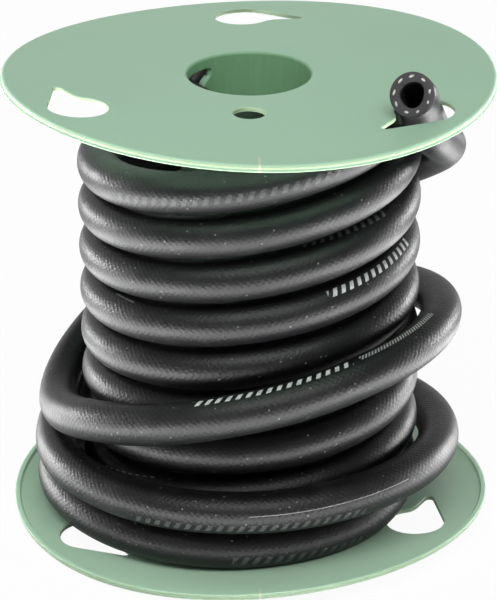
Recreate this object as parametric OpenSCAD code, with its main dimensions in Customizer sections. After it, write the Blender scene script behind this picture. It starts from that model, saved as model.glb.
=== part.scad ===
// Reel of rubber hose: a moulded plastic spool with a single-layer winding of fuel-and-gas tubing.
// The origin is at the centre of the base and +Z runs up the bore.

/* [Spool] */
// Diameter of both flanges
flange_d = 170; // [164:1:200]
// Overall height over the outer faces of the flanges
spool_h = 161; // [158:1:176]
// Thickness of the flange plate
flange_t = 1.6; // [1.2:0.1:2.2]
// Depth of the turned-in rim, from the outer face
rim_depth = 2.8; // [2.4:0.1:4]
// Width of the lip under the rim
rim_w = 1.6; // [1.2:0.1:3]
// Radius of the rim's outer shoulder
shoulder_r = 1.6; // [0.8:0.1:1.6]
// Height of the moulding bead round the edge of the rim
bead_h = 0.7; // [0.4:0.1:1]
// How far the moulding bead stands proud of the rim
bead_out = 0.3; // [0.1:0.1:0.5]
// Diameter of the bore through the hub, in its upper half
bore_d = 42.6; // [40:0.2:44]
// Wall of the hub
hub_wall = 2.5; // [1.5:0.1:3.5]
// Radius where the outer faces roll into the bore
mouth_r = 2; // [0.5:0.1:3]
// Radius where the hub meets the inner faces
root_r = 2.5; // [0.5:0.1:5]

/* [Flange openings] */
// Number of teardrop slots in each flange
slot_count = 3; // [2:1:3]
// Distance of each slot's round lobe from the axis
slot_pcr = 66; // [63:0.5:68]
// Radius of the slot's round lobe
lobe_r = 10.2; // [8.5:0.1:11]
// Reach of the slot from the lobe's centre to the tip's centre
slot_reach = 19.6; // [16:0.2:22]
// How far the tip lies nearer the axis than the lobe
slot_drop = 3.7; // [2:0.1:5]
// Radius of the slot's tip
tip_r = 1.4; // [0.8:0.1:2]
// Radius of the inner corner between the lobe and the tip
neck_r = 7; // [3:0.5:8]
// Diameter of the drive hole
drive_d = 10.8; // [8:0.2:12]
// Distance of the drive hole from the axis
drive_pcr = 38.6; // [36:0.2:42]

/* [Hub window] */
// Length of the window round the hub wall
window_w = 26.4; // [26:0.2:28]
// Height of the window
window_h = 16.2; // [16:0.1:16.6]
// Depth of the window's centre under the top face
window_drop = 12.8; // [12.2:0.1:14]
// Slant of the window
window_slant = 10; // [8:1:12]
// Height of the window's square corner above the middle of the window
corner_up = 7.1; // [6.5:0.1:7.5]
// Reach of the window's square corner past the middle of the window
corner_out = 15.1; // [14:0.1:16]
// Radius of the window's square corner
corner_r = 1.6; // [1:0.1:2]
// How much smaller the bore's lower half is in radius, where the two core pins meet at mid-height
core_step = 0.3; // [0.2:0.05:0.5]

/* [Hose] */
// Outside diameter of the hose
hose_od = 14.5; // [12:0.1:14.6]
// Bore of the hose
hose_id = 7.9; // [5:0.1:9]
// Radius of the winding at the middle of the hose
coil_r = 52.6; // [50:0.1:52.8]
// Rise from one turn to the next
turn_pitch = 16.4; // [15.5:0.1:16.6]
// Tilt of the first turn, as a rise at the right side
first_tilt = 6.9; // [3:0.1:7]
// Tilt of the last turn
last_tilt = 1.8; // [0:0.1:4]
// Gap left between the hose and the plastic
hose_clear = 0.15; // [0.05:0.05:0.4]

/* [Hidden] */

green = [0.64, 0.77, 0.67];
rubber = [0.12, 0.12, 0.125];

flange_r = flange_d/2;
bore_r = bore_d/2;
low_bore_r = bore_r - core_step;
hub_r = bore_r + hub_wall;
hose_r = hose_od/2;
over = 1;

// Outer rings of the hose have this many sides and its bore half as many
hose_sides = 12;
rings_per_turn = 20;

// Height of the hose's middle where it lies on the bottom flange, and under the top one
low_z = flange_t + hose_r + hose_clear;
high_z = spool_h - flange_t - hose_r - hose_clear;

// Angles run clockwise from the right side, seen from above: 90 is the front and 180 the left.
// Each row is angle past the bottom turn's start, radius and height of the hose's middle.
// The bottom turn spirals out, the next lies on it, and the third hangs loose round the coil.
outer_rows = [
    [45, 56.5, 9.6], [90, 60.8, 9], [135, 65.5, 9], [180, 69.6, 9], [225, 70, 9.6], [270, 69.5, 12.5],
    [315, 68.5, 18.5], [360, 67.8, 23.8], [405, 68.4, 27.4], [450, 69, 26.9], [495, 69.6, 25.2],
    [540, 70, 23.7], [585, 69.8, 30], [630, 69, 45], [675, 68.2, 61], [720, 67.8, 72.2],
    [765, 67.8, 73.4], [810, 68, 64.6], [855, 68, 50.8], [900, 68.3, 39], [945, 68.3, 52.5],
    [990, 68.4, 77]
];

// The hose climbs on across the back to the slot at the right. These heights are from the top face.
climb_rows = [[1035, 68.4, -57], [1062, 68, -39], [1080, 67.8, -27]];

// The free end passes up through the slot and leans out over the flange. Heights are from the top face.
tail_points = [
    [65.2, -16, -19], [60.7, -28.9, -10.2], [57.5, -33.3, -1.4], [55.7, -38.7, 5.1], [53.7, -44.7, 8.8]
];

// The inner end stands in the bore, slants up through the window and runs out to the first turn.
// Heights are from the highest place of the winding.
head_points = [
    [-6.8, -11.6, -9.4], [-12.2, -7.4, -7.2], [-17.6, -0.9, -5.1], [-22.8, 6, -3.8],
    [-28, 18, -2.7], [-28, 34, -1.7], [-19, 48, -1], [-3, 56, -0.7], [14, 55.5, -0.6],
    [30, 48, -0.6], [42, 36, -0.6], [49.8, 18.5, -0.7]
];

// Direction the window faces, and how far its middle lies to the left of that line
window_dir = 155;
window_off = 6.8;

// Height of the winding at its first turn's front, and the turns that fit above the bottom turn
first_z = high_z - turn_pitch/4 - first_tilt - 0.9;
coil_turns = floor((first_z + turn_pitch/4 - low_z)/turn_pitch);

function lerp(a, b, t) = a + (b - a)*t;
function polar(t, r, z) = [r*cos(t), -r*sin(t), z];

// One turn falls by the pitch and tilts up at the right, less and less towards the bottom
function coil_z(t) = first_z - turn_pitch*(t - 90)/360
    + lerp(first_tilt, last_tilt, t/(360*coil_turns))*cos(t);

coil_points = [
    for (i = [0 : rings_per_turn*coil_turns])
        let (t = 360*i/rings_per_turn) polar(t, coil_r - 0.6*exp(-t/40), coil_z(t))
];

function raised(points, z) = [for (p = points) p + [0, 0, z]];
outer_points = [for (row = concat(outer_rows, raised(climb_rows, spool_h))) polar(row[0], row[1], row[2])];

// Catmull-Rom curve through a list of points, with the given number of steps in each span
function spline_at(a, b, c, d, u) =
    0.5*((2*b) + (c - a)*u + (2*a - 5*b + 4*c - d)*u*u + (3*b - a - 3*c + d)*u*u*u);
function span_steps(a, b) = max(1, round(norm(b - a)/ring_gap));
ring_gap = 2*PI*coil_r/rings_per_turn;
function spline(p) = [
    for (i = [0 : len(p) - 2])
        let (a = p[max(i - 1, 0)], b = p[i], c = p[i + 1], d = p[min(i + 2, len(p) - 1)],
             steps = span_steps(b, c))
        for (s = [0 : steps - 1]) spline_at(a, b, c, d, s/steps),
    p[len(p) - 1]
];

route = spline(concat(raised(head_points, high_z), coil_points, outer_points, raised(tail_points, spool_h)));

// Unit direction of the route at each ring
function unit(v) = v/norm(v);
function heading(p, i) = unit(p[min(i + 1, len(p) - 1)] - p[max(i - 1, 0)]);

// Frame carried along the route without twisting: each ring turns the last one's side vector
function carried(side, dir) = unit(side - dir*(side*dir));
function sides_along(p, i, side) =
    i == len(p) ? [] : let (s = carried(side, heading(p, i))) concat([s], sides_along(p, i + 1, s));

function ring(p, dir, side, r, n) =
    let (other = cross(dir, side)) [for (k = [0 : n - 1]) p + r*(side*cos(360*k/n) + other*sin(360*k/n))];

module tube(p, r_out, r_in, n) {
    m = n/2;
    count = len(p);
    side = sides_along(p, 0, [0, 0, 1]);
    skin = [for (i = [0 : count - 1]) each ring(p[i], heading(p, i), side[i], r_out, n)];
    core = [for (i = [0 : count - 1]) each ring(p[i], heading(p, i), side[i], r_in, m)];
    base = count*n;
    function o(i, k) = i*n + k % n;
    function c(i, k) = base + i*m + k % m;
    last = count - 1;
    faces = concat(
        [for (i = [0 : last - 1]) for (k = [0 : n - 1]) each
            [[o(i, k), o(i + 1, k), o(i + 1, k + 1)], [o(i, k), o(i + 1, k + 1), o(i, k + 1)]]],
        [for (i = [0 : last - 1]) for (k = [0 : m - 1]) each
            [[c(i, k), c(i + 1, k + 1), c(i + 1, k)], [c(i, k), c(i, k + 1), c(i + 1, k + 1)]]],
        [for (k = [0 : m - 1]) each
            [[o(0, 2*k), o(0, 2*k + 1), c(0, k)], [o(0, 2*k + 1), c(0, k + 1), c(0, k)],
             [o(0, 2*k + 1), o(0, 2*k + 2), c(0, k + 1)]]],
        [for (k = [0 : m - 1]) each
            [[o(last, 2*k), c(last, k), o(last, 2*k + 1)], [o(last, 2*k + 1), c(last, k), c(last, k + 1)],
             [o(last, 2*k + 1), c(last, k + 1), o(last, 2*k + 2)]]]
    );
    polyhedron(concat(skin, core), faces, convexity = 20);
}

// Quarter disc that rounds a corner of the section
module quarter(r) {
    intersection() {
        circle(r, $fn = 48);
        square(r);
    }
}

// Half section of one flange with its outer face at y = 0 and its thickness above it, for a bore of radius r
module flange_section(r) {
    shoulder = min(shoulder_r, flange_t);
    translate([r + mouth_r, 0]) square([flange_r - shoulder - r - mouth_r, flange_t]);
    // rim, turned in towards the winding, with a moulding bead round its edge
    translate([flange_r - shoulder, shoulder]) mirror([0, 1]) quarter(shoulder);
    translate([flange_r - rim_w, shoulder]) square([rim_w, rim_depth - shoulder]);
    translate([flange_r - rim_w, rim_depth - bead_h]) square([rim_w + bead_out, bead_h]);
    // rounded mouth of the bore
    translate([r + mouth_r, mouth_r]) rotate(180) quarter(mouth_r);
    translate([r, mouth_r]) square([hub_r - r, flange_t + root_r - mouth_r]);
    // root between the hub and the inner face
    difference() {
        translate([r + mouth_r, flange_t]) square([hub_r + root_r - r - mouth_r, root_r]);
        translate([hub_r + root_r, flange_t + root_r]) circle(root_r, $fn = 48);
    }
}

module hub_section() {
    translate([bore_r, spool_h/2]) square([hub_wall, spool_h/2 - mouth_r]);
    translate([low_bore_r, mouth_r]) square([hub_r - low_bore_r, spool_h/2 - mouth_r]);
}

// Points along an arc, in equal steps from one angle to the other
function arc(middle, r, from, to, steps) =
    [for (i = [0 : steps]) let (a = lerp(from, to, i/steps)) middle + r*[cos(a), sin(a)]];

// Teardrop with its lobe at the origin, its tip towards +x and the axis towards -y.
// It runs round the lobe, along a hollow neck and straight flank, round the tip and back up the outer flank.
module slot_outline() {
    line_y = -slot_drop - tip_r;
    neck_y = line_y - neck_r;
    neck_x = sqrt(pow(lobe_r + neck_r, 2) - pow(neck_y, 2));
    neck_angle = atan2(neck_y, neck_x);
    span = norm([slot_reach, slot_drop]);
    lean = acos((lobe_r - tip_r)/span) - atan2(slot_drop, slot_reach);
    polygon(concat(
        arc([0, 0], lobe_r, lean, 360 + neck_angle, 30),
        arc([neck_x, neck_y], neck_r, 180 + neck_angle, 90, 5),
        arc([slot_reach, -slot_drop], tip_r, -90, lean, 8)
    ));
}

module slots() {
    for (i = [0 : slot_count - 1])
        rotate([0, 0, 90 + i*360/slot_count]) translate([slot_pcr, 0, -over])
            rotate([0, 0, -90]) linear_extrude(flange_t + 2*over) slot_outline();
}

module drive_hole() {
    translate([0, -drive_pcr, -over]) cylinder(d = drive_d, h = flange_t + 2*over, $fn = 64);
}

// Window in the hub wall for the hose's inner end: a slanted round-ended slot with one square corner.
// It is drawn as seen from outside, with its middle at the origin.
module window_outline() {
    span = (window_w - window_h)/2;
    end = span*[cos(window_slant), -sin(window_slant)];
    top = corner_up + corner_r;
    side = -corner_out - corner_r;
    rotate(-window_slant) {
        translate([-span, 0]) circle(d = window_h, $fn = 64);
        translate([span, 0]) circle(d = window_h, $fn = 64);
        square([2*span, window_h], center = true);
    }
    polygon([-end, [-end[0], top], [-corner_out, top], [side + corner_r*0.3, top - corner_r*0.3],
        [side, corner_up], [side, corner_up - corner_r], [-end[0] - window_h/2 + corner_r, corner_r]]);
}

module window_cut() {
    translate([0, 0, spool_h - window_drop]) rotate([0, 0, window_dir])
        translate([0, window_off, 0]) rotate([90, 0, 90]) linear_extrude(flange_r/2) window_outline();
}

module spool() {
    color(green) difference() {
        rotate_extrude($fn = 180) {
            flange_section(low_bore_r);
            translate([0, spool_h]) mirror([0, 1]) flange_section(bore_r);
            hub_section();
        }
        // the bottom flange is the top one turned over, so its slots point the other way
        mirror([1, 0, 0]) slots();
        translate([0, 0, spool_h - flange_t]) slots();
        drive_hole();
        translate([0, 0, spool_h - flange_t]) drive_hole();
        window_cut();
    }
}

module hose() {
    color(rubber) tube(route, hose_r, hose_id/2, hose_sides);
}

spool();
hose();
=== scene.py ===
import math
from itertools import accumulate

import bmesh
import bpy
from bpy.props import FloatProperty, FloatVectorProperty, IntProperty, PointerProperty
from mathutils import Matrix, Vector


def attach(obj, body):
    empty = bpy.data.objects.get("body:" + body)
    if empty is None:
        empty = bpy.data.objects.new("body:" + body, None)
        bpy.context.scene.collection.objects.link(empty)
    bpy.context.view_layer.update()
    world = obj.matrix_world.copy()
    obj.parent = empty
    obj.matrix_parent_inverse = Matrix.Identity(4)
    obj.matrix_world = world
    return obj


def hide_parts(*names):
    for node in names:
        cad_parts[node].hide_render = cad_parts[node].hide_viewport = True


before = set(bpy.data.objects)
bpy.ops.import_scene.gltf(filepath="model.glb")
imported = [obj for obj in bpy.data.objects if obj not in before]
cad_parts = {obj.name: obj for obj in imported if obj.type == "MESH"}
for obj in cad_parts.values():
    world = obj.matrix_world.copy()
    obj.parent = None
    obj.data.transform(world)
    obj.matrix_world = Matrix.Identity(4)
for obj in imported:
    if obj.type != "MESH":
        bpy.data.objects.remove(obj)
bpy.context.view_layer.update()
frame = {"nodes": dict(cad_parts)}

MM = 0.001

bl_info = {
    "name": "Hose Reel",
    "version": (1, 0, 0),
    "blender": (4, 5, 0),
    "location": "3D View > Sidebar > Hose Reel",
    "description": "A reel of thick rubber hose on a moulded plastic spool",
    "category": "Add Mesh",
}


def length(name, description, default_mm, low=0.0, high=500.0):
    """A size in millimetres, kept by Blender in metres."""
    return FloatProperty(
        name=name, description=description, default=default_mm * MM, min=low * MM, max=high * MM, unit="LENGTH",
        precision=5,
    )


def colour(name, description, default):
    """A linear colour."""
    return FloatVectorProperty(
        name=name, description=description, default=default, size=3, min=0, max=1, subtype="COLOR"
    )


class SpoolSizes(bpy.types.PropertyGroup):
    """Sizes of the moulded spool."""

    flange_d: length("Flange", "Diameter of both flanges", 170)
    height: length("Height", "Overall height over the outer faces", 161)
    plate: length("Plate", "Thickness of the flange plate", 1.6)
    rim_depth: length("Rim depth", "Depth of the turned-in rim", 2.8)
    rim_w: length("Lip", "Width of the lip under the rim", 1.6)
    shoulder: length("Shoulder", "Radius of the rim's outer shoulder", 1.5)
    bead: length("Bead", "Height of the moulding bead round the rim", 0.7)
    bead_out: length("Bead reach", "How far the moulding bead stands proud", 0.3)
    bore_r: length("Bore", "Radius of the bore", 21.3)
    hub_wall: length("Hub wall", "Wall of the hub", 2.5)
    mouth: length("Mouth", "Radius where the outer faces roll into the bore", 1.2)
    root: length("Root", "Radius where the hub meets the inner faces", 2.5)
    witness: length("Witness groove", "Depth of the groove where the core pins meet", 0.2)
    lobe: length("Slot lobe", "Radius of the slot's round lobe", 10.2)
    reach: length("Slot reach", "From the lobe's centre to the tip's centre", 19.6)
    drop: length("Slot drop", "How far the tip lies nearer the axis", 3.7)
    tip: length("Slot tip", "Radius of the slot's tip", 1.4)
    neck: length("Slot neck", "Radius of the hollow neck", 7.0)
    drive_r: length("Drive hole", "Radius of the drive hole", 5.4)
    drive_place: length("Drive hole place", "Distance of the drive hole from the axis", 38.6)
    chamfer: length("Edge break", "Break on the edges of the slots and holes", 0.25)
    steps: IntProperty(name="Steps", description="Steps round each flange", default=216, min=48, max=360)


class HoseSizes(bpy.types.PropertyGroup):
    """Sizes of the hose and of its winding."""

    outside: length("Outside", "Outside diameter of the hose", 14.5)
    bore: length("Bore", "Bore of the hose", 7.9)
    coil_r: length("Coil radius", "Radius of the winding at the middle of the hose", 52.6)
    pitch: length("Pitch", "Rise from one turn to the next", 16.4)
    turns: IntProperty(name="Turns", description="Turns above the bottom turn", default=8, min=1, max=10)
    first_tilt: length("First tilt", "Tilt of the first turn", 6.9)
    last_tilt: length("Last tilt", "Tilt of the last turn", 1.8)
    first_z: length("First height", "Height of the first turn at the front", 140.1)
    flare: FloatProperty(name="Flare", description="Growth of the hose at its cut end", default=0.05, min=0, max=0.2)
    ring: length("Ring step", "Distance between rings of the skin", 3.2)
    sides: IntProperty(name="Sides", description="Sides of each ring", default=48, min=12, max=96)
    yarns: IntProperty(
        name="Yarn ends", description="Reinforcement yarns that show in the cut face", default=9, min=1, max=24
    )


class ReelColours(bpy.types.PropertyGroup):
    """Colours of the reel and of the paper under it."""

    plastic: colour("Plastic", "Green of the moulded spool", (0.42, 0.665, 0.475))
    # olive tone of the edges, dark enough to be painted shade on their brightly lit walls
    plastic_edge_and_shade: colour("Plastic edge", "Olive tone of thin moulded edges", (0.27, 0.34, 0.18))
    rubber: colour("Rubber", "Black of the cover", (0.0025, 0.0025, 0.003))
    rubber_worn: colour("Worn rubber", "Grey of rubbed places on the cover", (0.018, 0.018, 0.019))
    cut_rubber: colour("Cut rubber", "Grey of the cut face", (0.065, 0.062, 0.067))
    print_ink: colour("Print", "Pale ink of the marks on the cover", (0.55, 0.56, 0.56))
    yarn: colour("Yarn", "Cream of the yarn ends", (0.85, 0.84, 0.76))
    floor: colour("Floor", "Paper under the reel", (0.92, 0.92, 0.92))


class ReelSettings(bpy.types.PropertyGroup):
    """All settings of the reel, kept on the scene."""

    spool: PointerProperty(type=SpoolSizes)
    hose: PointerProperty(type=HoseSizes)
    colours: PointerProperty(type=ReelColours)


# Camera: place in metres, tilt down and roll in radians, focal length in millimetres

EYE = Vector((-0.45, -1051.4, 555.6)) * MM
LOOK_DOWN = math.radians(24.56)
ROLL = -0.0036
LENS = 195.84


def place_camera(scene):
    """Add the camera and make it the scene's."""
    forward = Vector((0, math.cos(LOOK_DOWN), -math.sin(LOOK_DOWN)))
    right = Vector((1, 0, 0))
    up = right.cross(forward)
    right, up = math.cos(ROLL) * right + math.sin(ROLL) * up, -math.sin(ROLL) * right + math.cos(ROLL) * up
    data = bpy.data.cameras.new("reel_camera")
    data.sensor_fit = "AUTO"
    data.sensor_width = 36
    data.lens = LENS
    data.clip_start = 0.05
    data.clip_end = 50
    camera = bpy.data.objects.new("reel_camera", data)
    turn = Matrix((right, up, -forward)).transposed().to_4x4()
    camera.matrix_world = Matrix.Translation(EYE) @ turn
    scene.collection.objects.link(camera)
    scene.camera = camera


# Route of the hose in millimetres, as in the part's source apart from the hidden head, which lies up to 5 mm further
# in where it has left the hub. Angles run clockwise from the right, seen from above.

# From the inner end in the bore, out through the hub window, to the first turn
HEAD = [
    (-6.8, -11.6, 142.6), (-12.2, -7.4, 146.2), (-17.6, -0.9, 148.7), (-22.8, 6, 149),
    (-27.2, 18, 148.9), (-25, 32.5, 148.6), (-17.6, 43.2, 149.3), (-3, 53.5, 151), (14, 55.5, 151.4),
    (30, 48, 151.4), (42, 36, 151.4), (49.8, 18.5, 151.3),
]
# The three loose turns: angle past the bottom turn's start, radius and height
OUTER = [
    (45, 56.5, 9.6), (90, 60.8, 9), (135, 65.5, 9), (180, 69.6, 9), (225, 70, 9.6), (270, 69.5, 12.5),
    (315, 68.5, 18.5), (360, 67.8, 23.8), (405, 68.4, 27.4), (450, 69, 26.9), (495, 69.6, 25.2),
    (540, 70, 23.7), (585, 69.8, 30), (630, 69, 45), (675, 68.2, 61), (720, 67.8, 72.2),
    (765, 67.8, 73.4), (810, 68, 64.6), (855, 68, 50.8), (900, 68.3, 39), (945, 68.3, 52.5),
    (990, 68.4, 77), (1035, 68.4, 104), (1062, 68, 122), (1080, 67.8, 134),
]
# Up through the slot to the cut end
TAIL = [(65.2, -16, 142), (60.7, -28.9, 150.8), (57.5, -33.3, 159.6), (55.7, -38.7, 166.1), (53.7, -44.7, 169.8)]
END_STEPS = 24  # steps in each span of the head and the tail
ROW_STEPS = 15  # steps in each span of the loose turns
TUCK, TUCK_FADE = 0.6, 40  # how many millimetres the first turn is drawn in, and the degrees over which that fades


def spline(points, steps):
    """Smooth curve through points, with the given number of steps in each span."""
    line = []
    for i in range(len(points) - 1):
        a, b, c, d = (points[min(max(i + k, 0), len(points) - 1)] for k in (-1, 0, 1, 2))
        slope, bend, twist = c - a, 2 * a - 5 * b + 4 * c - d, 3 * b - a - 3 * c + d
        for step in range(steps):
            u = step / steps
            line.append(0.5 * (2 * b + slope * u + bend * u**2 + twist * u**3))
    return line + [points[-1]]


def polar(row):
    """A row of angle, radius and height as a point."""
    turn, r, z = row
    return Vector((r * math.cos(math.radians(turn)), -r * math.sin(math.radians(turn)), z))


def coil_row(hose, turn):
    """Angle, radius and height in millimetres on the winding."""
    last = 360 * hose.turns
    tilt = hose.first_tilt + (hose.last_tilt - hose.first_tilt) * turn / last
    z = hose.first_z - hose.pitch * (turn - 90) / 360 + tilt * math.cos(math.radians(turn))
    return Vector((turn, hose.coil_r / MM - TUCK * math.exp(-turn / TUCK_FADE), z / MM))


def hose_route(hose, step):
    """Points an even step apart along the middle of the hose, and its length, in metres."""
    head = spline([Vector(p) for p in HEAD] + [polar(coil_row(hose, t)) for t in (0, 18)], END_STEPS)[:-END_STEPS]
    last = 360 * hose.turns
    coil = [coil_row(hose, t) for t in range(0, last + 1, 3)]
    outer = [Vector((t + last, r, z)) for t, r, z in OUTER]
    rows = spline([coil_row(hose, last - 45), coil[-1]] + outer, ROW_STEPS)[ROW_STEPS:]
    before = [polar(rows[-ROW_STEPS - 1]), polar(rows[-1])]
    tail = spline(before + [Vector(p) for p in TAIL], END_STEPS)[END_STEPS:]
    line = head[:-1] + [polar(r) for r in coil[:-1]] + [polar(r) for r in rows[:-1]] + tail
    line = [p * MM for p in line]
    reach = [0, *accumulate((b - a).length for a, b in zip(line, line[1:]))]
    count = round(reach[-1] / step)
    even, k = [], 0
    for i in range(count + 1):
        want = reach[-1] * i / count
        while k < len(line) - 2 and reach[k + 1] < want:
            k += 1
        share = (want - reach[k]) / max(reach[k + 1] - reach[k], 1e-9)
        even.append(line[k].lerp(line[k + 1], min(share, 1)))
    return even, reach[-1]


def ring_frames(line):
    """Direction and two sides at each point, carried along without twisting."""
    frames, side = [], Vector((0, 0, 1))
    for i in range(len(line)):
        ahead = (line[min(i + 1, len(line) - 1)] - line[max(i - 1, 0)]).normalized()
        side = (side - ahead * side.dot(ahead)).normalized()
        frames.append((ahead, side, ahead.cross(side)))
    return frames


# Shader maths

class Wire:
    """A shader socket that takes part in sums."""

    def __init__(self, nodes, socket):
        self.nodes, self.socket = nodes, socket

    def __add__(self, other):
        return self.nodes.math("ADD", self, other)

    def __radd__(self, other):
        return self.nodes.math("ADD", other, self)

    def __sub__(self, other):
        return self.nodes.math("SUBTRACT", self, other)

    def __rsub__(self, other):
        return self.nodes.math("SUBTRACT", other, self)

    def __mul__(self, other):
        return self.nodes.math("MULTIPLY", self, other)

    def __rmul__(self, other):
        return self.nodes.math("MULTIPLY", other, self)

    def __truediv__(self, other):
        return self.nodes.math("DIVIDE", self, other)

    def __rtruediv__(self, other):
        return self.nodes.math("DIVIDE", other, self)

    def __pow__(self, other):
        return self.nodes.math("POWER", self, other)

    def __rpow__(self, other):
        return self.nodes.math("POWER", other, self)

    def __abs__(self):
        return self.nodes.math("ABSOLUTE", self)

    def between(self, low, high):
        """0 at low, 1 at high, with a smooth change; low may be above high."""
        settings = {"interpolation_type": "SMOOTHSTEP"}
        if low <= high:
            return self.nodes.node("ShaderNodeMapRange", settings, self, low, high, 0.0, 1.0)
        return self.nodes.node("ShaderNodeMapRange", settings, self, high, low, 1.0, 0.0)


class Nodes:
    """A node tree under construction."""

    def __init__(self, tree, output):
        self.tree = tree
        tree.nodes.clear()
        self.out = tree.nodes.new(output)

    def node(self, kind, settings=None, *values, output=0, **named):
        """Add a node, set its settings, then fill its sockets by order or by name."""
        made = self.tree.nodes.new(kind)
        for key, value in (settings or {}).items():
            setattr(made, key, value)
        live = [s for s in made.inputs if s.enabled]
        by_name = [(next(s for s in live if s.name == key.replace("_", " ")), value) for key, value in named.items()]
        for socket, value in list(zip(live, values)) + by_name:
            if value is None:
                continue
            if isinstance(value, Wire):
                self.tree.links.new(value.socket, socket)
            elif socket.type == "RGBA" and len(value) == 3:
                socket.default_value = (*value, 1)
            else:
                socket.default_value = value
        outs = [s for s in made.outputs if s.enabled]
        socket = next(s for s in outs if s.name == output) if isinstance(output, str) else outs[output]
        return Wire(self, socket)

    def mix(self, share, first, second):
        """A blend of two colours."""
        return self.node("ShaderNodeMix", {"data_type": "RGBA"}, share, first, second)

    def noise(self, where, scale, detail=3.0, rough=0.5):
        """Noise from 0 to 1."""
        return self.node("ShaderNodeTexNoise", None, where, Scale=scale, Detail=detail, Roughness=rough)

    def math(self, operation, *terms):
        """Any operation of the Math node."""
        return self.node("ShaderNodeMath", {"operation": operation}, *terms)

    def bump(self, height, strength, distance, under=None):
        """A normal tilted by a height, on top of another normal."""
        return self.node("ShaderNodeBump", None, Strength=strength, Distance=distance, Height=height, Normal=under)

    def show(self, wire):
        """Join a shader to the output."""
        self.tree.links.new(wire.socket, self.out.inputs["Surface"])


class Finish(Nodes):
    """A material under construction."""

    def __init__(self, name):
        self.material = bpy.data.materials.new(name)
        self.material.use_nodes = True
        super().__init__(self.material.node_tree, "ShaderNodeOutputMaterial")

    def surface(self, **sockets):
        """Finish the material with a Principled shader."""
        self.show(self.node("ShaderNodeBsdfPrincipled", None, **sockets))
        return self.material


def scaled(shade, share):
    """A colour made lighter or darker."""
    return tuple(share * c for c in shade)


# Tones laid over the moulding's own green: painted light on the low flange, the seam, the bore's scuffs, specks and
# painted shade on the hub's outer wall
LOW_FLANGE_PAINTED_LIGHT, SEAM, SCUFF = (0.66, 0.84, 0.66), (0.75, 0.76, 0.55), (0.46, 0.72, 0.50)
SPECK, SHADE = (0.10, 0.16, 0.11), (0.012, 0.016, 0.012)
SEAM_X, SEAM_LEAN = 2.4 * MM, 0.01  # where the mould's parting line crosses the rims at the front
BORE_SHADE_SHARES = (0.6, 0.74, 0.58)  # painted shade in the bore: its red, green and blue as shares of the plastic's


def plastic_finish(colours, spool):
    """Satin moulded plastic with a parting line, scuffs in the bore and fine specks; olive edges darkened as painted
    shade, painted shade in the bore and on the hub's outer wall, and painted light on the lower flange.
    """
    make = Finish("green_plastic")
    plastic = tuple(colours.plastic)
    place = make.node("ShaderNodeTexCoord", None, output="Object")
    x, y, z = (make.node("ShaderNodeSeparateXYZ", None, place, output=k) for k in "XYZ")
    radius = (x * x + y * y) ** 0.5
    normal = make.node("ShaderNodeNewGeometry", None, output="Normal")
    lean = abs(make.node("ShaderNodeSeparateXYZ", None, normal, output="Z"))
    wide = make.noise(place, 9.0, 2.0)
    fine = make.noise(place, 900.0, 2.0)

    # the plates, and their upright edges in an olive tone that is also painted shade on their brightly lit walls
    tone = make.mix(wide.between(0.35, 0.65) * 0.35, plastic, scaled(plastic, 0.9))
    thin = (1 - lean.between(0.15, 0.7)) * radius.between(30 * MM, 34 * MM)
    tone = make.mix(thin * 0.8, tone, tuple(colours.plastic_edge_and_shade))
    # painted light: the lower flange is made paler than the moulding's green
    tone = make.mix(z.between(8 * MM, 4 * MM) * 0.25, tone, LOW_FLANGE_PAINTED_LIGHT)
    seam = abs(x - SEAM_X + y * SEAM_LEAN).between(0.6 * MM, 0.25 * MM) * (0 - y).between(78 * MM, 80 * MM)
    tone = make.mix(seam * 0.6, tone, SEAM)

    # the bore, with painted shade and streaks along it
    streak_place = make.node("ShaderNodeCombineXYZ", None, x, y, z * 0.12)
    streak = make.noise(streak_place, 420.0, 3.0)
    scuff = make.noise(place, 700.0, 4.0, 0.7).between(0.6, 0.72)
    deep = tuple(share * c for share, c in zip(BORE_SHADE_SHARES, plastic))
    bore_tone = make.mix(streak.between(0.4, 0.75) * 0.3, deep, scaled(deep, 1.25))
    bore_tone = make.mix(scuff * 0.35, bore_tone, SCUFF)
    in_bore = radius.between(spool.bore_r + 0.9 * MM, spool.bore_r + 0.1 * MM)
    tone = make.mix(in_bore, tone, bore_tone)

    # dark specks, and painted shade on the hub's outer wall behind the winding
    specks = make.node("ShaderNodeTexVoronoi", {"feature": "F1"}, place, Scale=55.0, Randomness=1.0, output="Distance")
    tone = make.mix((0.035 - specks).between(0.0, 0.02) * 0.35, tone, SPECK)
    behind = radius.between(spool.bore_r + 1.2 * MM, spool.bore_r + 2.0 * MM) * radius.between(31 * MM, 30 * MM)
    tone = make.mix(behind * (1 - lean.between(0.3, 0.7)) * 0.9, tone, SHADE)
    rough = 0.4 + wide * 0.1 + fine * 0.06
    skin = make.bump(fine, 0.12, 0.12 * MM)
    skin = make.bump(make.noise(place, 60.0, 2.0), 0.10, 0.8 * MM, skin)
    return make.surface(Base_Color=tone, Roughness=rough, Normal=skin, IOR=1.46)


DUST = (0.30, 0.30, 0.30)
WEAVE_PITCH, WEAVE_ROUND = 2.1 * MM, 21  # the cloth's imprint: its pitch along the hose, and its strands around
# Marks in millimetres: the fade at their ends and at their edges, the height up to which one counts as thin, and
# half of what is solid of a thin one
MARK_FADE, MARK_EDGE, THIN_MARK, THIN_CORE = 0.6, 0.2, 0.6, 0.05


def mark_share(make, around, along, half_way, mark):
    """Where one mark of plain bars, or one plain line, shows on the hose."""
    start, end, middle, drift, tall, pitch, slant, ink = mark
    across = around - (middle * MM + drift * (along - start * MM))
    across = make.math("WRAP", across, half_way, -half_way)
    band = abs(across).between(tall / 2 * MM, (tall / 2 - MARK_EDGE if tall > THIN_MARK else THIN_CORE) * MM)
    run = along.between(start * MM, (start + MARK_FADE) * MM) * along.between(end * MM, (end - MARK_FADE) * MM)
    share = band * run * ink
    if pitch:
        bar = make.math("FRACT", (along + across * slant) / (pitch * MM))
        share = share * abs(bar - 0.5).between(0.27, 0.2)
    return share


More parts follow.
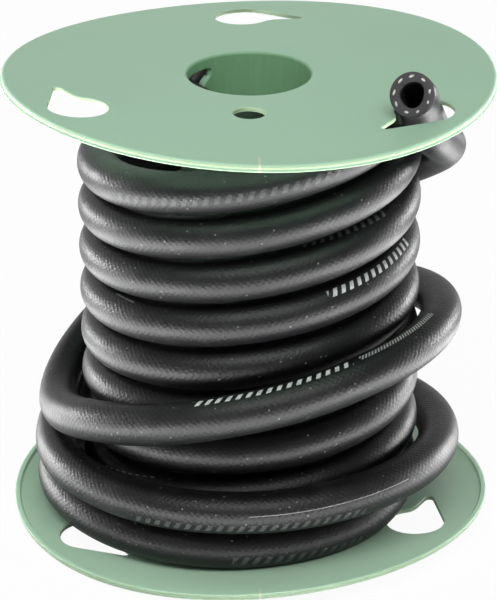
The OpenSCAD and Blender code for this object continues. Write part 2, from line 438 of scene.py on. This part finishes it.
def rubber_finish(colours, hose, marks):
    """Cloth-wrapped rubber cover with printed bars, dust and a grey cut face. The UV map is in metres."""
    make = Finish("black_rubber")
    rubber = tuple(colours.rubber)
    uv = make.node("ShaderNodeUVMap", {"uv_map": "hose_skin"})
    around = make.node("ShaderNodeSeparateXYZ", None, uv, output="X")
    along = make.node("ShaderNodeSeparateXYZ", None, uv, output="Y")
    r = hose.outside / 2
    angle = around / r
    cosine, sine = make.math("COSINE", angle), make.math("SINE", angle)
    place = make.node("ShaderNodeCombineXYZ", None, cosine * r, sine * r, along)
    cut_face = make.node("ShaderNodeAttribute", {"attribute_name": "cut_face"}, output="Fac")
    blotch = make.noise(place, 140.0, 3.0, 0.6)
    grain = make.noise(place, 1500.0, 2.0, 0.6)
    wrap_place = make.node("ShaderNodeCombineXYZ", None, cosine * r * 0.35, sine * r * 0.35, along)
    wrap = make.noise(wrap_place, 1100.0, 2.0, 0.55)
    beat = along * (2 * math.pi / WEAVE_PITCH)
    warp, weft = (make.math("SINE", beat + angle * lean) for lean in (WEAVE_ROUND, -WEAVE_ROUND))

    tone = make.mix(blotch.between(0.35, 0.7) * 0.5, rubber, scaled(rubber, 1.7))
    worn = make.noise(place, 45.0, 4.0, 0.6).between(0.58, 0.75)
    tone = make.mix(worn * 0.45, tone, tuple(colours.rubber_worn))
    dust = make.node("ShaderNodeTexVoronoi", {"feature": "F1"}, place, Scale=260.0, Randomness=1.0, output="Distance")
    tone = make.mix((0.11 - dust).between(0.0, 0.05) * 0.30, tone, DUST)
    patchy = 0.7 + make.noise(place, 700.0, 2.0).between(0.35, 0.5) * 0.3
    for mark in marks:
        tone = make.mix(mark_share(make, around, along, math.pi * r, mark) * patchy, tone, tuple(colours.print_ink))
    tone = make.mix(cut_face, tone, tuple(colours.cut_rubber))

    rough = 0.30 + blotch * 0.16 + grain * 0.08 + cut_face * 0.15
    height = wrap * 0.45 + (warp + weft) * 0.09 + blotch * 1.2 + grain * 0.6
    skin = make.bump(height, 0.36, 0.4 * MM)
    skin = make.bump(grain, 0.2, 0.1 * MM, skin)
    return make.surface(Base_Color=tone, Roughness=rough, Normal=skin, IOR=1.41)


def yarn_finish(colours):
    """Matt cream yarn."""
    make = Finish("yarn_ends")
    place = make.node("ShaderNodeTexCoord", None, output="Object")
    strand = make.noise(place, 2600.0, 2.0)
    tone = make.mix(strand.between(0.3, 0.7), tuple(colours.yarn), scaled(colours.yarn, 0.7))
    return make.surface(Base_Color=tone, Roughness=0.6 + strand * 0.2, Normal=make.bump(strand, 0.5, 0.2 * MM))


# Meshes

def new_piece(name, bm, material, smooth=True):
    """Turn a bmesh into an object at the origin."""
    mesh = bpy.data.meshes.new(name)
    bm.to_mesh(mesh)
    bm.free()
    for face in mesh.polygons:
        face.use_smooth = smooth
    piece = bpy.data.objects.new(name, mesh)
    bpy.context.scene.collection.objects.link(piece)
    if material:
        mesh.materials.append(material)
    return piece


def apply_modifiers(piece):
    """Keep the evaluated mesh and drop the modifiers."""
    bpy.context.view_layer.update()
    graph = bpy.context.evaluated_depsgraph_get()
    done = bpy.data.meshes.new_from_object(piece.evaluated_get(graph))
    piece.modifiers.clear()
    old, piece.data = piece.data, done
    bpy.data.meshes.remove(old)


def arc(middle, radius, start, end, steps):
    """Points along an arc, in degrees."""
    turns = (math.radians(start + (end - start) * i / steps) for i in range(steps + 1))
    return [(middle[0] + radius * math.cos(a), middle[1] + radius * math.sin(a)) for a in turns]


HOLE_SIDES = 48
# Where the walls have points between their ends, in metres, so that they can bend with the warp
FLANGE_RINGS = (0.036, 0.050, 0.064, 0.074, 0.080)
HUB_RINGS = (0.02, 0.04, 0.06)
UPPER_BORE_RINGS = (0.1, 0.12, 0.14)


def half_section(s):
    """Half the spool's section as points of radius and height: the bore's mouth, round the flange and up the hub."""
    flange_r, hub_r, ease = s.flange_d / 2, s.bore_r + s.hub_wall, 0.25 * MM
    line = arc((s.bore_r + s.mouth, s.mouth), s.mouth, 180, 270, 8)
    line += [(r, 0) for r in FLANGE_RINGS]
    line += arc((flange_r - s.shoulder, s.shoulder), s.shoulder, 270, 360, 8)
    bead = s.rim_depth - s.bead
    line += [(flange_r - 0.15 * MM, bead - ease), (flange_r + 0.02 * MM, bead)]
    line += arc((flange_r + s.bead_out - 0.3 * MM, bead + 0.35 * MM), 0.3 * MM, -60, 60, 5)
    line += [(flange_r - ease, s.rim_depth), (flange_r - s.rim_w + ease, s.rim_depth)]
    line += [(flange_r - s.rim_w, s.rim_depth - ease), (flange_r - s.rim_w - 0.15 * MM, s.plate + 0.3 * MM)]
    line += [(flange_r - s.rim_w - 0.5 * MM, s.plate)]
    line += [(r, s.plate) for r in reversed(FLANGE_RINGS)]
    line += arc((hub_r + s.root, s.plate + s.root), s.root, 270, 180, 6)
    return line + [(hub_r, z) for z in HUB_RINGS]


def slot_outline(s, grow):
    """Teardrop with its lobe at the origin and its tip towards +x, grown by the edge break."""
    lobe, tip, neck = s.lobe + grow, s.tip + grow, s.neck - grow
    line_y = -s.drop - tip
    neck_y = line_y - neck
    neck_x = math.sqrt((lobe + neck) ** 2 - neck_y**2)
    neck_turn = math.degrees(math.atan2(neck_y, neck_x))
    span = math.hypot(s.reach, s.drop)
    lean = math.degrees(math.acos((lobe - tip) / span) - math.atan2(s.drop, s.reach))
    return (
        arc((0, 0), lobe, lean, 360 + neck_turn, 48)
        + arc((neck_x, neck_y), neck, 180 + neck_turn, 90, 10)
        + arc((s.reach, -s.drop), tip, -90, lean, 12)
    )


def drive_hole(s, grow):
    """Round hole at the origin, grown by the edge break."""
    return arc((0, 0), s.drive_r + grow, 0, 360 - 360 / HOLE_SIDES, HOLE_SIDES - 1)


def cutter(outline, layers, place):
    """A closed prism whose outline changes from layer to layer; place turns it into position."""
    bm = bmesh.new()
    loops = []
    for grow, z in layers:
        ring = [bm.verts.new((x, y, z)) for x, y in outline(grow)]
        loops.append([bm.edges.new((a, b)) for a, b in zip(ring, ring[1:] + ring[:1])])
    for low, high in zip(loops, loops[1:]):
        bmesh.ops.bridge_loops(bm, edges=low + high)
    for loop in (loops[0], loops[-1]):
        bmesh.ops.contextual_create(bm, geom=loop)
    bmesh.ops.triangulate(bm, faces=[f for f in bm.faces if len(f.verts) > 4])
    bmesh.ops.transform(bm, matrix=place, verts=bm.verts)
    bmesh.ops.recalc_face_normals(bm, faces=bm.faces)
    return new_piece("cutter", bm, None)


def cut(piece, tools):
    """Take the tools' shapes out of the piece, and delete the tools."""
    for tool in tools:
        step = piece.modifiers.new("cut", "BOOLEAN")
        step.operation, step.solver, step.object = "DIFFERENCE", "EXACT", tool
    apply_modifiers(piece)
    for tool in tools:
        mesh = tool.data
        bpy.data.objects.remove(tool)
        bpy.data.meshes.remove(mesh)


# Rise of each flange's rim at its edge, in millimetres: along x, along y, folded and twisted
TOP_WARP = (-0.66, -2.1, 1.5, 1.6)
LOW_WARP = (0.42, -0.9, -0.5, -2.24)
# Angle of each slot's lobe, and its distance from the axis in millimetres
TOP_SLOTS = [(91.9, 63.1), (214.1, 68.8), (328.5, 68.5)]
LOW_SLOTS = [(90, 66), (211.2, 66.9), (331.8, 66.3)]
# Hub window, in millimetres and degrees. Its outline is seen from the axis, upright.
WINDOW_TURN = 155  # the way it faces, counter-clockwise from the right, seen from above
WINDOW_SIDE = 6.8  # its middle, to the left of that way, looking out
WINDOW_DROP = 12.8  # its middle, below the top face
WINDOW_END = 8.1  # radius of its round ends
WINDOW_SPAN = 5.1  # from its middle to the centre of each end
WINDOW_SLANT = 10
WINDOW_CORNER = [(14.5, 3.6), (16.4, 5.3)]  # its square corner
WINDOW_TIP, WINDOW_TIP_R = (15.1, 7.1), 1.6  # the round tip over that corner
WINDOW_BACK = (5.5, 8.95)  # where the upper edge goes back to


def rise(warp, x, y, flange_r):
    """How far a flange's warp lifts a point, in metres."""
    share, turn = (x * x + y * y) / flange_r**2, math.atan2(y, x)
    a, b, c, d = warp
    wave = a * math.cos(turn) + b * math.sin(turn) + c * math.cos(2 * turn) + d * math.sin(2 * turn)
    return wave * share * MM


def warped(s, v):
    """Where a point of the straight spool goes on the warped one."""
    up = min(max(v.z / s.height, 0), 1)
    top = rise(TOP_WARP, v.x, v.y, s.flange_d / 2)
    low = rise(LOW_WARP, v.x, v.y, s.flange_d / 2)
    return Vector((v.x, v.y, v.z + top * up + low * (1 - up)))


class REEL_OT_spool(bpy.types.Operator):
    """Spin the spool's section, cut its slots, holes and window, and warp its flanges"""

    bl_idname = "reel.spool"
    bl_label = "Spool"

    def execute(self, context):
        s, colours = context.scene.reel.spool, context.scene.reel.colours
        bm = bmesh.new()
        half, middle, groove = half_section(s), s.height / 2, 0.4 * MM
        points = half + [(r, s.height - z) for r, z in reversed(half)]
        points += [(s.bore_r, z) for z in reversed(UPPER_BORE_RINGS)]
        points += [(s.bore_r, middle + groove), (s.bore_r + s.witness, middle), (s.bore_r, middle - groove)]
        points += [(s.bore_r, z) for z in reversed(HUB_RINGS)]
        ring = [bm.verts.new((r, 0, z)) for r, z in points]
        edges = [bm.edges.new((a, b)) for a, b in zip(ring, ring[1:] + ring[:1])]
        bmesh.ops.spin(
            bm, geom=ring + edges, cent=(0, 0, 0), axis=(0, 0, 1), angle=2 * math.pi, steps=s.steps, use_merge=True,
            use_duplicate=False,
        )
        bmesh.ops.remove_doubles(bm, verts=bm.verts, dist=1e-6)
        bmesh.ops.recalc_face_normals(bm, faces=bm.faces)
        spool = new_piece("spool_moulding", bm, plastic_finish(colours, s))

        # each cutter is wider at both faces of the plate, so that the edges are broken
        c, tools = s.chamfer, []
        edge = [(2 * c, -c), (0, c), (0, s.plate - c), (2 * c, s.plate + c)]
        for z, slots, way in ((0, LOW_SLOTS, -1), (s.height - s.plate, TOP_SLOTS, 1)):
            for turn, out in slots:
                turn = math.radians(turn if way == 1 else 180 - turn)
                seat = (
                    Matrix.Translation((0, 0, z)) @ Matrix.Diagonal((way, 1, 1, 1)) @ Matrix.Rotation(turn, 4, "Z")
                    @ Matrix.Translation((out * MM, 0, 0)) @ Matrix.Rotation(math.radians(-90), 4, "Z")
                )
                tools.append(cutter(lambda grow: slot_outline(s, grow), edge, seat))
            seat = Matrix.Translation((0, -s.drive_place, z))
            tools.append(cutter(lambda grow: drive_hole(s, grow), edge, seat))
        tools.append(window_cutter(s))
        cut(spool, tools)
        for vertex in spool.data.vertices:
            vertex.co = warped(s, vertex.co)
        for face in spool.data.polygons:
            face.use_smooth = True
        spool.data.set_sharp_from_angle(angle=math.radians(32))
        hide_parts("spool")
        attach(spool, "root")
        return {"FINISHED"}


def window_cutter(s):
    """Slanted round-ended window in the hub, with one square corner at the right as seen from the axis."""
    radius, span, slant = WINDOW_END * MM, WINDOW_SPAN * MM, math.radians(WINDOW_SLANT)
    right = Vector((span * math.cos(slant), span * math.sin(slant)))
    outline = arc(-right, radius, 90 + WINDOW_SLANT, 270 + WINDOW_SLANT, 24)
    outline += arc(right, radius, 270 + WINDOW_SLANT, 360, 12)
    outline += [(x * MM, y * MM) for x, y in WINDOW_CORNER]
    outline += arc([v * MM for v in WINDOW_TIP], WINDOW_TIP_R * MM, -20, 90, 8)
    outline += [tuple(v * MM for v in WINDOW_BACK)]
    upright = Matrix(((0, 0, 1, 0), (-1, 0, 0, 0), (0, 1, 0, 0), (0, 0, 0, 1)))
    seat = (
        Matrix.Translation((0, 0, s.height - WINDOW_DROP * MM)) @ Matrix.Rotation(math.radians(WINDOW_TURN), 4, "Z")
        @ Matrix.Translation((0, WINDOW_SIDE * MM, 0)) @ upright
    )
    return cutter(lambda grow: outline, [(0, 6 * MM), (0, 40 * MM)], seat)


# Plain bars and scratches on the hose, in millimetres along and around it: start, end, middle, drift, height, pitch
# (0 for a plain line), slant and strength
MARKS = [
    (228, 303, 34.4, 0, 3.2, 3.4, 0.4, 0.05),
    (867, 902, 0.8, 0.10, 3.0, 3.2, 0.5, 0.3),
    (1184, 1227, 0.4, 0, 3.0, 3.2, 0.5, 0.95),
    (3746, 3802, 9.8, 0, 2.8, 3.4, 0.5, 0.95),
    (3702, 3743, 10.2, 0, 2.4, 1.35, 0.8, 0.7),
    (3306, 3384, 0.2, 0, 3.2, 3.4, 0.5, 0.07),
    (2877, 2922, 1.6, 0.03, 3.6, 3.6, 0.5, 0.07),
    (1294, 1305, 3.4, 0.1, 1.0, 0, 0, 0.3),
    (2610, 2646, 9.6, -0.13, 0.4, 3.0, 0, 0.8),
    (3288, 3345, 6.2, -0.017, 0.35, 0, 0, 0.35),
]


FLARE_LENGTH = 14 * MM
# From ring to ring, the cut face as shares of the hose's radius and the bore as shares of the bore's, with the height
# of each over the cut in millimetres
FACE_STEPS = [(0.985, 0.15), (0.93, 0.28), (0.80, 0.2), (0.68, 0.05), (0.60, 0.0)]
BORE_STEPS = [(1.019, -0.3), (1.0, -1.2), (1.0, -4), (0.991, -8), (0.973, -14), (0.918, -22), (0.551, -23)]
FACE_RINGS = 6  # how many of them are grey as the cut face; the rest are darker
EVEN_RINGS = 3  # how many of them are nearly round
# Yarn ends: their ring as a share of the hose's radius, their lift over the cut, and half their size along the ring,
# outward and along the hose, in millimetres
YARN_RING, YARN_LIFT, YARN_SIZE = 0.84, 0.25, (0.85, 0.42, 0.22)


class REEL_OT_hose(bpy.types.Operator):
    """Sweep the hose along its route, with a flared cut end and an open bore"""

    bl_idname = "reel.hose"
    bl_label = "Hose"

    def execute(self, context):
        h, colours = context.scene.reel.hose, context.scene.reel.colours
        line, total = hose_route(h, h.ring)
        frames = ring_frames(line)
        rings, sides, r = len(line) - 1, h.sides, h.outside / 2
        bm = bmesh.new()
        skin = bm.loops.layers.uv.new("hose_skin")
        bmesh.ops.create_grid(bm, x_segments=sides, y_segments=rings, size=0.5, calc_uvs=True)
        for face in bm.faces:
            for loop in face.loops:
                x, y = loop.vert.co.x + 0.5, loop.vert.co.y + 0.5
                loop[skin].uv = (x * 2 * math.pi * r, y * total)
        for vertex in bm.verts:
            turn = (vertex.co.x + 0.5) * 2 * math.pi
            i = round((vertex.co.y + 0.5) * rings)
            _, side, other = frames[i]
            left = total * (1 - i / rings)
            swell = 1 + h.flare * max(0, 1 - left / FLARE_LENGTH) ** 2
            vertex.co = line[i] + r * swell * (side * math.cos(turn) + other * math.sin(turn))
        bmesh.ops.remove_doubles(bm, verts=bm.verts, dist=1e-6)
        cut_layer = bm.verts.layers.float.new("cut_face")
        for i, way in ((0, -1), (rings, 1)):
            close_end(bm, line, frames, i, way, h, cut_layer)
        bmesh.ops.recalc_face_normals(bm, faces=bm.faces)
        hose = new_piece("rubber_hose", bm, rubber_finish(colours, h, MARKS))
        hose.data.set_sharp_from_angle(angle=math.radians(50))
        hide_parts("hose")
        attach(hose, "root")
        ends = yarn_ends(h, colours, line[-1], frames[-1])
        [tuple(p) for p in line[::2] + line[-1:]]
        return {"FINISHED"}


def step_back(line, frames, i, way, depth):
    """The point and frame this deep behind the end at i, along the hose."""
    k, left = i, depth
    while True:
        hop = (line[k] - line[k - way]).length
        if left < hop:
            return line[k] - frames[k][0] * way * left, frames[k]
        left, k = left - hop, k - way


def close_end(bm, line, frames, i, way, h, cut_layer):
    """Turn the open end of the skin in over the cut face and down the bore, a little out of round."""
    edge = [e for e in bm.edges if e.is_boundary and (e.verts[0].co - line[i]).length < h.outside]
    middle, frame = line[i], frames[i]
    reach = max((v.co - middle).dot(frame[1]) for e in edge for v in e.verts)
    steps = FACE_STEPS + [(share * h.bore / h.outside, height) for share, height in BORE_STEPS]
    for k, (share, height) in enumerate(steps):
        made = bmesh.ops.extrude_edge_only(bm, edges=edge)["geom"]
        edge = [g for g in made if isinstance(g, bmesh.types.BMEdge) and g.is_boundary]
        if height < 0:
            base, inner = step_back(line, frames, i, way, -height * MM)
        else:
            base, inner = line[i] + frames[i][0] * way * height * MM, frames[i]
        uneven = 0.1 if k < EVEN_RINGS else 1
        for vertex in {v for e in edge for v in e.verts}:
            off = vertex.co - middle
            turn = math.atan2(off.dot(frame[2]), off.dot(frame[1]))
            wobble = 1 + (0.05 * math.sin(2 * turn + 0.6) + 0.035 * math.sin(3 * turn + 1.9)) * uneven
            vertex.co = base + reach * share * wobble * (inner[1] * math.cos(turn) + inner[2] * math.sin(turn))
            vertex[cut_layer] = 1.0 if k < FACE_RINGS else 0.4
        middle, frame = base, inner
    bmesh.ops.contextual_create(bm, geom=edge)


def yarn_ends(h, colours, middle, frame_at_end):
    """Cut ends of the reinforcement yarns, set unevenly into the hose's cut face."""
    ahead, side, other = frame_at_end
    wide, tall, deep = YARN_SIZE
    bm = bmesh.new()
    for k in range(h.yarns):
        turn = 2 * math.pi * (k + 0.2 * math.sin(3.1 * k)) / h.yarns
        made = bmesh.ops.create_icosphere(bm, subdivisions=2, radius=1.0)["verts"]
        outward = side * math.cos(turn) + other * math.sin(turn)
        tangent = other * math.cos(turn) - side * math.sin(turn)
        tangent = (tangent + outward * 0.25 * math.sin(5 * k)).normalized()
        place = middle + outward * (h.outside / 2 * YARN_RING) + ahead * YARN_LIFT * MM
        size = Matrix((tangent * (wide + 0.25 * math.sin(7 * k)) * MM, outward * tall * MM, ahead * deep * MM))
        bmesh.ops.transform(bm, matrix=Matrix.Translation(place) @ size.transposed().to_4x4(), verts=made)
    bmesh.ops.recalc_face_normals(bm, faces=bm.faces)
    ends = new_piece("yarn_ends", bm, yarn_finish(colours))
    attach(ends, "root")
    return ends


# Lamps: name, place, where they aim, size in metres and power in watts
OVER_LAMPS = [
    ("top_box", (0.0, 0.15, 1.3), (0, 0, 0.1), (1.3, 1.0), 0.8),
    ("front_box", (-0.1, -0.85, 1.4), (0, 0, 0.08), (1.6, 0.6), 15.5),
]
SIDE_LAMPS = [
    ("side_box", (1.1, 0.1, 0.3), (0, 0, 0.08), (0.4, 0.9), 0.7),
    ("rim_box", (0.9, 0.55, 0.07), (0, 0, 0.08), (0.5, 0.12), 7),
    ("side_card", (0.31, -0.08, 0.002), (0.30, -0.08, 0.4), (0.4, 0.6), 5),
]
FRONT_LAMPS = [("front_card", (0.0, -0.26, 0.002), (0, -0.25, 0.4), (0.7, 0.3), 3.6)]
FLOOR_HALF, FLOOR_Y = 6.0, 2.0  # half the paper's side, and its middle
FLOOR_Z = -2.6 * MM  # just below the warped rim's lowest point
FLOOR_GLOW = 0.95  # share of the floor's picture that is plain white
ROOM_DIM, ROOM_BRIGHT, WHITE = (0.14, 0.14, 0.14), (0.8, 0.8, 0.8), (1, 1, 1)


def soft_box(name, place, aim, size, power, side=1):
    """Hang a rectangular lamp; side -1 puts it on the left."""
    place, aim = (Vector((p[0] * side, p[1], p[2])) for p in (place, aim))
    data = bpy.data.lights.new(name, "AREA")
    data.shape, data.size, data.size_y, data.energy = "RECTANGLE", size[0], size[1], power
    lamp = bpy.data.objects.new(name, data)
    lamp.location = place
    lamp.rotation_euler = (aim - place).to_track_quat("-Z", "Y").to_euler()
    bpy.context.scene.collection.objects.link(lamp)


def white_paper(colours):
    """Floor that the camera sees almost white, with a trace of the reel's shadow."""
    make = Finish("paper")
    place = make.node("ShaderNodeTexCoord", None, output="Object")
    fibre = make.noise(place, 400.0, 3.0)
    lit = make.node("ShaderNodeBsdfDiffuse", None, tuple(colours.floor), 0.6, make.bump(fibre, 0.05, 0.2 * MM))
    glow = make.node("ShaderNodeEmission", None, WHITE, 1.0)
    seen = make.node("ShaderNodeLightPath", None, output="Is Camera Ray")
    make.show(make.node("ShaderNodeMixShader", None, seen * FLOOR_GLOW, lit, glow))
    return make.material


def studio_world():
    """White to the camera; for everything else bright low behind the reel, and dim above and in front."""
    world = bpy.data.worlds.new("studio")
    world.use_nodes = True
    make = Nodes(world.node_tree, "ShaderNodeOutputWorld")
    toward = make.node("ShaderNodeTexCoord", None, output="Generated")
    y, z = (make.node("ShaderNodeSeparateXYZ", None, toward, output=k) for k in "YZ")
    bright = y.between(-0.1, 0.6) * (1 - z.between(0.25, 0.7))
    seen = make.node("ShaderNodeLightPath", None, output="Is Camera Ray")
    level = make.mix(bright, ROOM_DIM, ROOM_BRIGHT)
    make.show(make.node("ShaderNodeBackground", None, make.mix(seen, level, WHITE), 1.0))
    return world


class REEL_OT_stage(bpy.types.Operator):
    """Lay the floor, hang the lamps and set the world"""

    bl_idname = "reel.stage"
    bl_label = "Stage"

    def execute(self, context):
        scene, colours = context.scene, context.scene.reel.colours
        bm = bmesh.new()
        bmesh.ops.create_grid(bm, x_segments=8, y_segments=8, size=FLOOR_HALF)
        bmesh.ops.translate(bm, verts=bm.verts, vec=(0, FLOOR_Y, FLOOR_Z))
        floor = new_piece("paper_floor", bm, white_paper(colours), smooth=False)
        for lamp in OVER_LAMPS:
            soft_box(*lamp)
        for side in (-1, 1):
            for lamp in SIDE_LAMPS:
                soft_box(*lamp, side=side)
        for lamp in FRONT_LAMPS:
            soft_box(*lamp)
        scene.world = studio_world()
        scene.view_settings.view_transform = "Standard"
        return {"FINISHED"}


class REEL_PT_panel(bpy.types.Panel):
    """Sizes, colours and steps in the sidebar"""

    bl_label = "Hose Reel"
    bl_space_type = "VIEW_3D"
    bl_region_type = "UI"
    bl_category = "Hose Reel"

    def draw(self, context):
        settings = context.scene.reel
        for title, group, step in (
            ("Spool", settings.spool, "reel.spool"),
            ("Hose", settings.hose, "reel.hose"),
            ("Colours", settings.colours, "reel.stage"),
        ):
            box = self.layout.box()
            box.label(text=title)
            for key in group.bl_rna.properties.keys():
                if key not in ("rna_type", "name"):
                    box.prop(group, key)
            box.operator(step)


CLASSES = (
    SpoolSizes, HoseSizes, ReelColours, ReelSettings, REEL_OT_spool, REEL_OT_hose, REEL_OT_stage, REEL_PT_panel,
)


def register():
    for kind in CLASSES:
        bpy.utils.register_class(kind)
    bpy.types.Scene.reel = PointerProperty(type=ReelSettings)


def unregister():
    del bpy.types.Scene.reel
    for kind in reversed(CLASSES):
        bpy.utils.unregister_class(kind)


def main():
    """Build the reel and its stage."""
    register()
    place_camera(bpy.context.scene)
    bpy.ops.reel.hose()
    bpy.ops.reel.spool()
    bpy.ops.reel.stage()


if __name__ == "__main__":
    main()
